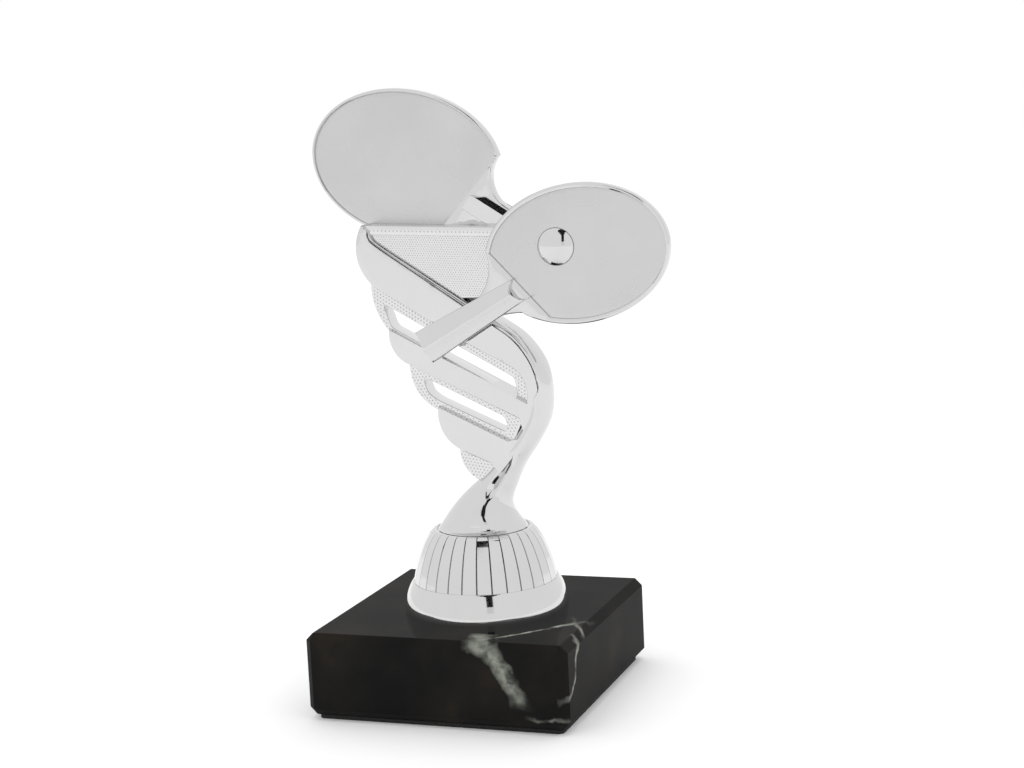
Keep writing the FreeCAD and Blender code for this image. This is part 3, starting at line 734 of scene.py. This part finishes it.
# ---------------------------------------------------------------- bats
def ellipse(centre, a, b, tilt, step=0.6):
    """Points of a tilted ellipse, anticlockwise from its long end."""
    count = int(2 * math.pi * a / step)
    c, s = math.cos(math.radians(tilt)), math.sin(math.radians(tilt))
    path = []
    for i in range(count):
        t = 2 * math.pi * i / count
        u, v = a * math.cos(t), b * math.sin(t)
        path.append((centre[0] + u * c - v * s, centre[1] + u * s + v * c))
    return path


def turned_to(closed_path, start):
    """The same closed path, begun at the point nearest to start."""
    i = min(range(len(closed_path)), key=lambda k: math.dist(closed_path[k], start))
    return closed_path[i:] + closed_path[:i]


def bat_outline(blade, upper, lower, handle, clockwise):
    """The bat's outline from the upper throat round the blade to the lower throat and the handle."""
    path = turned_to(ellipse(*blade), upper[0])
    if clockwise:
        path = path[:1] + path[:0:-1]
    low = arc(*lower)
    pairs = [(math.dist(p, q), i, j) for i, p in enumerate(path) if math.dist(p, lower[0]) < 14
             for j, q in enumerate(low)]
    _, i, j = min(pairs)
    outline = path[1:i] + low[j:]
    outline += through([lower[2], handle[2]])[1:-1] + through([handle[2], handle[1]])[:-1]
    outline += through([handle[1], upper[2]])[:-1] + arc(*upper)[::-1][:-1]
    return clean(outline, 0.2)


def rubber_outline(sizes, edge, inset=0.0):
    """The oval sheet with its straight end; inset moves the whole outline inwards."""
    centre, a, b, tilt = sizes
    path = ellipse(centre, a - inset, b - inset, tilt)
    (x0, h0), (x1, h1) = edge
    run = np.array([x1 - x0, h1 - h0]) / math.dist(*edge)
    normal = np.array([-run[1], run[0]])
    if normal @ (np.array(centre) - np.array(edge[0])) < 0:
        normal = -normal
    depth = [(np.array(p) - np.array(edge[0])) @ normal - inset for p in path]
    start = next(i for i in range(len(path)) if depth[i] > 0 and depth[i - 1] <= 0)
    order = [(start + k) % len(path) for k in range(len(path))]
    kept = [i for i in order if depth[i] > 0]

    def crossing(i, j):
        share = depth[i] / (depth[i] - depth[j])
        return tuple(np.array(path[i]) + (np.array(path[j]) - np.array(path[i])) * share)
    first, last = crossing(start - 1, start), crossing(kept[-1], (kept[-1] + 1) % len(path))
    return clean([first] + [path[i] for i in kept] + through([last, first])[:-1], 0.12)


BAT_THICK = 3.0
LIP = 0.5                     # height of the rim over the rubber
RIM_ROUND = 0.7


def blade(name, outline, sizes, edge, front):
    """The core plate: a rounded rim that stands above a pocket on each face."""
    top, foot = rubber_outline(sizes, edge), rubber_outline(sizes, edge, 0.12)
    middle = front - BAT_THICK / 2

    def half(points):
        rise = BAT_THICK / 2 - edge_drop(distance(points, outline), RIM_ROUND)
        inner = inside(points, top)
        gap = distance(points, top)
        rise -= np.where(inner, 0, edge_drop(gap, 0.2))
        rise -= np.where(inner, 0.2 + np.clip(gap / 0.1, 0, 1) * (LIP + 0.3), 0)
        return rise
    return relief(name, outline, lambda p: middle + half(p), lambda p: middle - half(p),
                  rim=RIM_ROUND, grid=1.3, lines=[top + top[:1], foot + foot[:1]])


def one_sided(name, outline, level, lift, sink, towards, **options):
    """A sheet on one side of a bat: lift(points) shapes the face that shows, and the hidden face
    lies sink below level."""
    def shown(points):
        return level + towards * lift(points)

    def hidden(points):
        return np.full(len(points), level - towards * sink)
    front, back = (shown, hidden) if towards > 0 else (hidden, shown)
    return relief(name, outline, front, back, **options)


def rubber(name, sizes, edge, level, towards, dish, ball_at=None):
    """A sheet that lies in the pocket; towards is +1 for a sheet on the front and -1 on the back."""
    outline = rubber_outline(sizes, edge, 0.02)
    centre, a, b, tilt = sizes
    c, s = math.cos(math.radians(tilt)), math.sin(math.radians(tilt))
    lines = []
    if ball_at:
        for r in (BALL_RING - RING_HALF, BALL_RING, BALL_RING + RING_HALF):
            lines.append([polar(ball_at, k * 5, r) for k in range(73)])

    def face(points):
        x, h = points[:, 0] - centre[0], points[:, 1] - centre[1]
        u, v = (x * c + h * s) / a, (h * c - x * s) / b
        lift = -dish * np.clip(1 - u**2 - v**2, 0, 1) - edge_drop(distance(points, outline), 0.1)
        if ball_at:
            gap = np.abs(np.hypot(points[:, 0] - ball_at[0], points[:, 1] - ball_at[1]) - BALL_RING)
            lift = lift - RING_DEEP * np.clip(1 - gap / RING_HALF, 0, 1)
        return lift

    return one_sided(name, outline, level, face, 0.5, towards, rim=0.1, grid=0.9, lines=lines)


def scale(name, outline, base, lift, towards, lines, sharp_angle=38):
    """A handle cheek over an outline; lift gives its height above the blade, towards is +1 in front."""
    lines = [[p for p, ok in zip(line, inside(line, outline)) if ok] for line in lines]

    def raised(points):
        return np.maximum(lift(points), CHEEK_SEAT)
    return one_sided(name, clean(outline), base, raised, CHEEK_SEAT, towards, rim=0.35, grid=0.8, lines=lines,
                     sharp_angle=sharp_angle)


def ridged(outline, axis, widths, height):
    """Heights of a cheek with two slightly hollow facets that meet in a soft ridge."""
    length = math.dist(*axis)
    along = (np.array(axis[1]) - np.array(axis[0])) / length
    across = np.array([-along[1], along[0]])

    def lift(points):
        rel = points - np.array(axis[0])
        t, u = np.clip(rel @ along / length, 0, 1), rel @ across
        width = widths[0] + (widths[1] - widths[0]) * t
        share = np.abs(u) / np.where(u > 0, width * RIDGE_SHARES[0], width * RIDGE_SHARES[1])
        ridge = 0.72 * (np.sqrt(share**2 + 0.02) - 0.14)
        sag = 0.12 * np.sin(math.pi * np.clip(share, 0, 1))
        rise = height * (1 - ridge - sag)
        return rise - edge_drop(distance(points, outline), 0.35)
    lines = []
    for offset in (-0.7, -0.3, 0.0, 0.3, 0.7):
        lines.append(through([tuple(np.array(end) + across * offset) for end in axis], 0.5))
    return lift, lines


FRONT_BLADE = ((30.6, 86.4), 22.5, 16.3, 8.0)
FRONT_RUBBER = ((30.8, 86.5), 21.6, 15.1, 8.0)
FRONT_EDGE = [(9.5, 86.7), (24.7, 70.6)]
FRONT_UPPER = [(8.5, 87.0), (8.6, 80.8), (4.7, 75.25)]
FRONT_LOWER = [(26.4, 69.8), (17.0, 72.6), (9.3, 71.1)]
FRONT_HANDLE = [(4.7, 75.25), (-10.4, 67.7), (-5.3, 61.3), (9.3, 71.1)]
FRONT_AXIS = [(-7.7, 64.3), (16.5, 78.2)]
REAR_BLADE = ((-14.7, 107.6), 24.7, 17.8, -12.3)
REAR_RUBBER = ((-14.7, 107.5), 23.9, 17.0, -12.3)
REAR_EDGE = [(8.4, 108.1), (-5.5, 92.8)]
REAR_UPPER = [(9.0, 108.6), (7.2, 102.6), (11.4, 96.5)]
REAR_LOWER = [(-5.4, 91.2), (0.4, 92.6), (5.4, 91.3)]
REAR_HANDLE = [(11.4, 96.5), (30.1, 85.5), (25.1, 77.9), (5.4, 91.3)]
REAR_AXIS = [(1.4, 98.7), (27.6, 81.7)]
BALL_AT = (25.8, 88.1)
BALL_R = 4.3
BALL_SLOPE = math.radians(38)           # of the dome where it meets the rubber
BALL_RING = 4.38                        # radius of the fine groove round the ball
RING_HALF, RING_DEEP = 0.08, 0.15
REAR_LINE = 32.5                        # the rear handle falls to the right by this many degrees
# The rear bat's front cheek, as distances from the figure's origin: up across its line and along it.
REAR_CHEEK = [(81.5, -52.2), (81.3, -21.5), (87.0, -21.5), (87.0, -48.6), (85.9, -50.2), (85.2, -52.2)]
REAR_CHEEK_LIFT = 1.2
BEVEL_AT, BEVEL_FALL = 85.5, 0.70       # where its bevel starts, and the bevel's fall per millimetre
FRONT_FACE, REAR_FACE = 7.0, -3.0       # how far forward each bat's front face is
RUBBER_SINK = 0.5                       # of the rubbers, under the rim of the bat
FRONT_DISH, REAR_DISH = 0.12, 0.05      # hollow of the rubbers
RIDGE_HEIGHT = 2.2
RIDGE_SHARES = (0.54, 0.46)             # of a ridged cheek's width, above and below its ridge
CHEEK_SEAT = 0.05                       # least height of a cheek, and how deep it is set in the blade
FRONT_WIDTHS, REAR_WIDTHS = (8.4, 6.2), (5.8, 8.6)      # of the ridged cheeks, at both ends
CHEEK_HOLLOW = [(20.1, 77.1), (16.4, 76.3), (14.6, 78.1), (14.7, 79.5), (15.3, 80.9)]


def scale_outline(axis, widths):
    """Corners of a tapered cheek about the line of its ridge."""
    (x0, h0), (x1, h1) = axis
    angle = math.degrees(math.atan2(h1 - h0, x1 - x0))
    above, below = RIDGE_SHARES
    return [polar(axis[0], angle + 90, widths[0] * above), polar(axis[0], angle - 90, widths[0] * below),
            polar(axis[1], angle - 90, widths[1] * below), polar(axis[1], angle + 90, widths[1] * above)]


def rear_scale():
    """The rear bat's front cheek: a flat face with a broad bevel along its upper side."""
    a = math.radians(REAR_LINE)
    up, along = np.array([math.sin(a), math.cos(a)]), np.array([math.cos(a), -math.sin(a)])
    corners = [tuple(up * s + along * t) for s, t in REAR_CHEEK]
    outline = rounded(corners, 0.4, 0.5)

    def lift(points):
        fall = BEVEL_FALL * np.clip(points @ up - BEVEL_AT, 0, None)
        return REAR_CHEEK_LIFT - fall - edge_drop(distance(points, outline), 0.15)
    line = through([tuple(up * BEVEL_AT + along * t) for t in (-52.4, -21)], 0.5)
    return scale("rear_scale_visual", outline, REAR_FACE, lift, 1, [line], sharp_angle=22)


def front_scale():
    """The front bat's ridged cheek, cut off by a round hollow next to the blade."""
    top_end, low_end = scale_outline(FRONT_AXIS, FRONT_WIDTHS)[:2]
    hollow = arc(*CHEEK_HOLLOW[:3]) + arc(*CHEEK_HOLLOW[2:])[1:]
    outline = through([top_end, low_end, hollow[0]])[:-1] + hollow + through([hollow[-1], top_end])[1:-1]
    outline = clean(outline, 0.2)
    lift, lines = ridged(outline, FRONT_AXIS, FRONT_WIDTHS, RIDGE_HEIGHT)
    return scale("front_scale_visual", outline, FRONT_FACE, lift, 1, lines)


def rear_back_scale():
    outline = rounded(scale_outline(REAR_AXIS, REAR_WIDTHS), 0.5, 0.5)
    lift, lines = ridged(outline, REAR_AXIS, REAR_WIDTHS, RIDGE_HEIGHT)
    return scale("rear_back_scale_visual", outline, REAR_FACE - BAT_THICK, lift, -1, lines)


def two_rubbers(front_name, back_name, sizes, edge, face, dish, ball_at=None):
    """The sheets on both sides of a bat, each a little under the rim."""
    front = rubber(front_name, sizes, edge, face - RUBBER_SINK, 1, dish, ball_at)
    back = rubber(back_name, sizes, edge, face - BAT_THICK + RUBBER_SINK, -1, dish)
    return front, back


def bats():
    """All pieces of both bats, by the CAD node that each stands for."""
    pieces = {}
    outline = bat_outline(FRONT_BLADE, FRONT_UPPER, FRONT_LOWER, FRONT_HANDLE, clockwise=True)
    pieces["front_bat_blade"] = blade("front_blade_visual", outline, FRONT_RUBBER, FRONT_EDGE, FRONT_FACE)
    pieces["front_bat_front_rubber"], pieces["front_bat_back_rubber"] = two_rubbers(
        "front_rubber_visual", "front_back_rubber_visual", FRONT_RUBBER, FRONT_EDGE, FRONT_FACE,
        FRONT_DISH, BALL_AT)
    pieces["front_bat_handle_scale"] = front_scale()
    outline = bat_outline(REAR_BLADE, REAR_UPPER, REAR_LOWER, REAR_HANDLE, clockwise=False)
    pieces["rear_bat_blade"] = blade("rear_blade_visual", outline, REAR_RUBBER, REAR_EDGE, REAR_FACE)
    pieces["rear_bat_front_rubber"], pieces["rear_bat_back_rubber"] = two_rubbers(
        "rear_rubber_visual", "rear_back_rubber_visual", REAR_RUBBER, REAR_EDGE, REAR_FACE, REAR_DISH)
    pieces["rear_bat_front_scale"] = rear_scale()
    pieces["rear_bat_back_scale"] = rear_back_scale()
    return pieces


def ball():
    """The dome of a ball that rises from the front bat."""
    count = 40
    radii = [BALL_R * k / count for k in range(count + 1)]
    slopes = [math.tan(BALL_SLOPE * (r / BALL_R)**0.92) for r in radii]
    heights = [0.0]
    for k in range(count, 0, -1):
        heights.insert(0, heights[0] + (slopes[k] + slopes[k - 1]) / 2 * BALL_R / count)
    rows = []
    face = FRONT_FACE - RUBBER_SINK
    for r, out in list(zip(radii, heights))[1:] + [(BALL_R, -0.4)]:
        rows.append([place(BALL_AT[0] + r * math.cos(t), -face - out, BALL_AT[1] + r * math.sin(t))
                     for t in np.linspace(0, 2 * math.pi, 96, endpoint=False)])
    return grid_mesh("ball_visual", rows)


# ---------------------------------------------------------------- foot
SKIRT_ARC = [(20.0, 0.0), (19.45, 3.7), (17.85, 7.0)]       # radius and height, as in the next two
DOME = [(17.5, 7.1), (17.0, 9.6), (16.1, 12.7), (14.7, 16.2), (13.2, 18.7), (12.3, 19.6)]
FOOT_TOP = [(12.0, 19.72), (11.5, 19.75), (11.3, 19.7), (11.2, 19.1), (10.6, 19.1)]
FLUTES = 30
FLUTE_PHASE = 0.40            # share of a flute from the first valley to the +X direction
FLUTE_FLAT = 0.088            # each flute is a flat strip, so its middle lies this far inside the round
FLUTE_NOTCH = 0.65            # depth of the narrow groove between two flutes
NOTCH_HALF = 0.05             # half its width, as a share of a flute
FLUTE_COLUMNS = (0.0, 0.02, 0.035, 0.05, 0.08, 0.2, 0.35, 0.5, 0.65, 0.8, 0.92, 0.95, 0.965, 0.98)


def foot():
    """The round foot: a plain skirt, a dome of flat flutes and the seat of the stem."""
    profile = arc(*SKIRT_ARC, 0.4) + [(17.75, 7.1)]
    rows = []
    places = [i + share - FLUTE_PHASE for i in range(FLUTES) for share in FLUTE_COLUMNS]
    angles = [2 * math.pi * p / FLUTES for p in places]

    def ring(radius_at, h):
        return [place(AXIS_X + radius_at(a) * math.cos(a), radius_at(a) * math.sin(a), h) for a in angles]
    rows.append(ring(lambda a: 18.2, 0.0))
    for r, h in profile:
        rows.append(ring(lambda a: r, h))

    def fluted(radius):
        def radius_at(a):
            t = (a * FLUTES / (2 * math.pi) + FLUTE_PHASE) % 1
            hollow = FLUTE_FLAT * (1 - (2 * t - 1)**2)
            notch = FLUTE_NOTCH * max(0.0, 1 - min(t, 1 - t) / NOTCH_HALF)
            return radius - (hollow + notch)
        return radius_at
    for r, h in smooth_rows(DOME, 7):
        rows.append(ring(fluted(r), h))
    for r, h in FOOT_TOP:
        rows.append(ring(lambda a: r, h))
    return grid_mesh("foot_visual", rows, sharp_angle=40)


# ---------------------------------------------------------------- block
BEVEL = 1.8
EDGE_ROUND = 0.16
HOLES = ((9.0, -1, 9.0), (3.6, 8, 22))       # radius, and heights from and to above the underside


def marble_block():
    """The block with its flat bevels, each edge just broken, and the stepped hole underneath."""
    bm = bmesh.new()
    bmesh.ops.create_cube(bm, size=1.0)
    size = BLOCK_HIGH - BLOCK_LOW
    middle = (BLOCK_HIGH + BLOCK_LOW) / 2
    bmesh.ops.scale(bm, vec=size, verts=bm.verts)
    bmesh.ops.translate(bm, vec=middle, verts=bm.verts)
    bmesh.ops.bevel(bm, geom=bm.edges[:], offset=BEVEL * MM, segments=1, profile=0.5, affect="EDGES")
    bmesh.ops.bevel(bm, geom=bm.edges[:], offset=EDGE_ROUND * MM, segments=3, profile=0.5, affect="EDGES")
    mesh = bpy.data.meshes.new("marble_visual")
    bm.to_mesh(mesh)
    bm.free()
    obj = linked("marble_visual", mesh)
    for radius, low, high in HOLES:
        cutter_mesh = bpy.data.meshes.new("cutter")
        cut = bmesh.new()
        bmesh.ops.create_cone(cut, cap_ends=True, segments=64, radius1=radius * MM, radius2=radius * MM,
                              depth=(high - low) * MM)
        shift = Vector((AXIS_X * MM, 0, BLOCK_LOW.z + (low + high) / 2 * MM))
        bmesh.ops.translate(cut, vec=shift, verts=cut.verts)
        cut.to_mesh(cutter_mesh)
        cut.free()
        cutter = linked("cutter", cutter_mesh)
        modifier = obj.modifiers.new("hole", "BOOLEAN")
        modifier.operation = "DIFFERENCE"
        modifier.solver = "EXACT"
        modifier.object = cutter
        evaluated = obj.evaluated_get(bpy.context.evaluated_depsgraph_get())
        cut_mesh = bpy.data.meshes.new_from_object(evaluated)
        obj.modifiers.clear()
        obj.data = cut_mesh
        bpy.data.objects.remove(cutter)
    return obj


# ---------------------------------------------------------------- assembly
def paint(node, material):
    """Show a CAD node as it is, with a procedural finish."""
    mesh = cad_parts[node].data
    mesh.materials.clear()
    mesh.materials.append(material)
    mesh.polygons.foreach_set("material_index", [0] * len(mesh.polygons))


paint("base_felt", FELT)
paint("captive_nut", BRASS)
for node in ("threaded_rod", "hex_nut", "flat_washer", "locating_pins"):
    paint(node, ZINC)
keep(marble_block(), ["marble_base"], MARBLE)
for make, node in ((foot, "fluted_foot"), (stem, "stem"), (upper_band, "upper_band"),
                   (middle_band, "middle_band"), (lower_band, "lower_band")):
    keep(make(), [node], SILVER)
for name, node in zip(WEBS, ("upper_mesh_web", "middle_mesh_web", "lower_mesh_web")):
    keep(web(name), [node], MESH)
keep(net(), ["net_panel"], MESH)
keep(net_floor(), [], MESH)
keep(tape(), ["net_tape"], MESH)
for node, piece in bats().items():
    if "rubber" in node:
        keep(piece, [node], SATIN)
    else:
        keep(piece, [node], SILVER)
keep(ball(), ["ball"], SILVER)


# ---------------------------------------------------------------- camera, light and floor
def look(place_mm, yaw, pitch, roll):
    """World matrix of a camera: yaw turns it left of +Y, pitch down and roll about its own axis."""
    ahead = Vector((-math.sin(yaw) * math.cos(pitch), math.cos(yaw) * math.cos(pitch), -math.sin(pitch)))
    right = Vector((math.cos(yaw), math.sin(yaw), 0))
    up = right.cross(ahead)
    right_rolled = right * math.cos(roll) + up * math.sin(roll)
    up_rolled = up * math.cos(roll) - right * math.sin(roll)
    turned = Matrix((right_rolled, up_rolled, -ahead)).transposed().to_4x4()
    return Matrix.Translation(Vector(place_mm) * MM) @ turned


CAMERA_AT = (176.9, -458.6, 152.8)
CAMERA_YAW = 19.87
data = bpy.data.cameras.new("camera")
data.lens = 72.67
data.sensor_width = 36
camera = linked("camera", data)
camera.matrix_world = look(CAMERA_AT, math.radians(CAMERA_YAW), math.radians(8.98), math.radians(-2.74))
bpy.context.scene.camera = camera

world = bpy.data.worlds.new("tent")
world.use_nodes = True
world.node_tree.nodes["Background"].inputs["Color"].default_value = (1, 1, 1, 1)
world.node_tree.nodes["Background"].inputs["Strength"].default_value = 1.0
bpy.context.scene.world = world
bpy.context.scene.view_settings.view_transform = "Standard"


def card(name, centre, aim, width, height, material):
    """A flat card, turned towards a point, that the camera itself doesn't see."""
    centre, aim = Vector(centre) * MM, Vector(aim) * MM
    x, y = width / 2 * MM, height / 2 * MM
    mesh = bpy.data.meshes.new(name)
    mesh.from_pydata([(-x, -y, 0), (x, -y, 0), (x, y, 0), (-x, y, 0)], [], [(0, 1, 2, 3)])
    mesh.materials.append(material)
    obj = linked(name, mesh)
    turn = (aim - centre).to_track_quat("Z", "Y")
    obj.matrix_world = Matrix.Translation(centre) @ turn.to_matrix().to_4x4()
    obj.visible_camera = False
    obj.visible_shadow = False
    return obj


def around(azimuth, elevation, reach, target=(0, 0, 80)):
    """A place seen from the target: azimuth right of -Y, elevation above the horizon."""
    a, e = math.radians(azimuth), math.radians(elevation)
    return (target[0] + reach * math.cos(e) * math.sin(a), target[1] - reach * math.cos(e) * math.cos(a),
            target[2] + reach * math.sin(e))


def glowing(name, tone):
    """A grey that looks the same in any light."""
    material, _, _, principled = shader(name, (0, 0, 0), 0.0, 1.0)
    principled.inputs["Emission Color"].default_value = (tone, tone, tone, 1)
    principled.inputs["Emission Strength"].default_value = 1.0
    return material


BLACK = glowing("black_card", 0.003)
GREY = glowing("grey_card", 0.82)
CARD_AZIMUTH = 25.0
CARD_REACH = 480
# The slit in the tent that the camera looks through: elevations from and to, width, and its tone.
SLIT = [(6, 20, 76, GREY), (20, 46, 76, BLACK), (46, 52, 120, BLACK), (52, 58, 180, BLACK),
        (58, 66, 240, BLACK)]
for low, high, width, tone in SLIT:
    tall = 2 * CARD_REACH * math.tan(math.radians((high - low) / 2)) * 1.02
    card("slit", around(CARD_AZIMUTH, (low + high) / 2, CARD_REACH), (0, 0, 80), width, tall, tone)

softbox_data = bpy.data.lights.new("softbox", "AREA")
softbox_data.size = 1.2
softbox_data.energy = 3.0
softbox = linked("softbox", softbox_data)
softbox.location = (0, 0.1, 1.4)
softbox.visible_glossy = False
softbox.visible_camera = False

FLOOR_SIDE = 6.0              # metres
FLOOR_GLOW = 0.12             # keeps the floor as pale as the background
floor_mesh = bpy.data.meshes.new("floor")
half = FLOOR_SIDE / 2
corners = [(-half, -half, 0), (half, -half, 0), (half, half, 0), (-half, half, 0)]
floor_mesh.from_pydata(corners, [], [(0, 1, 2, 3)])
FLOOR, _, _, floor_surface = shader("floor", (0.94, 0.94, 0.94), 0.0, 0.9)
floor_surface.inputs["Emission Color"].default_value = (1, 1, 1, 1)
floor_surface.inputs["Emission Strength"].default_value = FLOOR_GLOW
floor_mesh.materials.append(FLOOR)
floor = linked("floor", floor_mesh)
